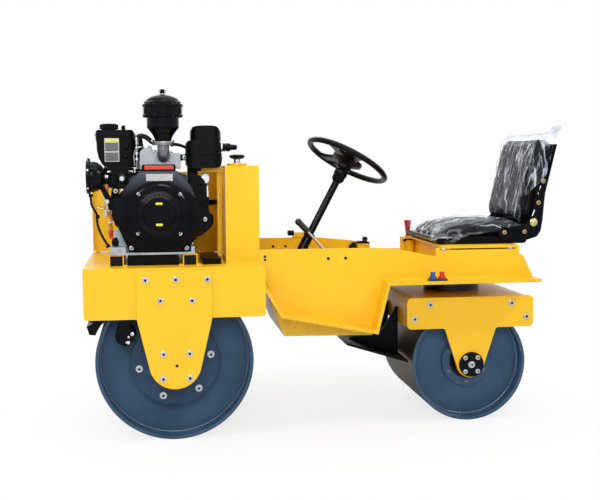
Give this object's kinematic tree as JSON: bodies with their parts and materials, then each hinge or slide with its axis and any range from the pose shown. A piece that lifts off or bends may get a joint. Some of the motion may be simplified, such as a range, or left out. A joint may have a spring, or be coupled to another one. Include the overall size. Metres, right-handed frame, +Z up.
{
  "type": "ride-on double-drum road roller",
  "caption": "Small ride-on road roller with a wide front steel drum, a narrower steered rear drum, a single-cylinder diesel engine in front and an open platform with a seat.",
  "frame": {"origin": "centre of the bounding box seen from above, on the plane that the drums stand on", "axes": "+X forward towards the engine and the front drum, +Y to the driver's left along the drum axles, +Z up"},
  "size_m": [1.771, 0.8, 1.246],
  "materials": {
    "yellow_paint": "gloss",
    "black_paint": "satin",
    "blue_grey_paint": "satin",
    "worn_steel": "worn",
    "black_casting": "satin",
    "chrome": "polished",
    "red_paint": "gloss",
    "black_plastic": "matte",
    "black_vinyl": "satin",
    "black_rubber": "matte",
    "aluminium": "satin"
  },
  "bodies": {
    "frame": {"front_deck": "yellow_paint", "side_plate_left": "yellow_paint", "side_plate_right": "yellow_paint", "leg_left": "yellow_paint", "leg_right": "yellow_paint", "hose_bracket": "black_paint", "front_scraper": "black_paint", "rail_front": "yellow_paint", "rail_rear": "yellow_paint", "crankcase": "aluminium", "fan_shroud": "black_paint", "starter_cover": "black_paint", "cylinder_head": "aluminium", "intake_elbow": "black_casting", "air_filter": "black_paint", "fuel_tank": "black_paint", "muffler": "black_paint", "headlamp": "black_paint", "lamp_cable": "black_rubber", "side_panel": "yellow_paint", "tank_cabinet": "yellow_paint", "filler_cap": "black_plastic", "tank_post": "yellow_paint", "round_tank": "yellow_paint", "floor_pan": "yellow_paint", "wall_left": "yellow_paint", "wall_right": "yellow_paint", "seat_box": "yellow_paint", "seat_frame": "black_paint", "seat_cushion": "black_vinyl", "back_cushion": "black_vinyl", "column": "black_paint", "travel_lever": "chrome", "hand_lever": "red_paint", "control_box": "yellow_paint", "port_block": "black_plastic"},
    "drum_front": {"front_drum": "worn_steel", "carrier_left": "blue_grey_paint", "carrier_right": "blue_grey_paint"},
    "yoke": {"yoke_frame": "yellow_paint", "yoke_plate_left": "yellow_paint", "yoke_plate_right": "yellow_paint", "rear_scraper": "black_paint"},
    "drum_rear": {"rear_drum": "worn_steel"},
    "helm": {"steering_wheel": "black_plastic"}
  },
  "joints": [
    {"name": "front_drum_spin", "type": "hinge", "parent": "frame", "child": "drum_front", "pos_m": [0.5715, 0, 0.28], "axis": [0, 1, 0], "continuous": true},
    {"name": "yoke_steer", "type": "hinge", "parent": "frame", "child": "yoke", "pos_m": [-0.5385, 0, 0.48], "axis": [0, 0, 1], "range_deg": [-25, 25]},
    {"name": "rear_drum_spin", "type": "hinge", "parent": "yoke", "child": "drum_rear", "pos_m": [-0.5385, 0, 0.22], "axis": [0, 1, 0], "continuous": true},
    {"name": "helm_turn", "type": "hinge", "parent": "frame", "child": "helm", "pos_m": [-0.10539, -0.02689, 0.95692], "axis": [-0.482, -0.1552, 0.8624], "continuous": true}
  ]
}
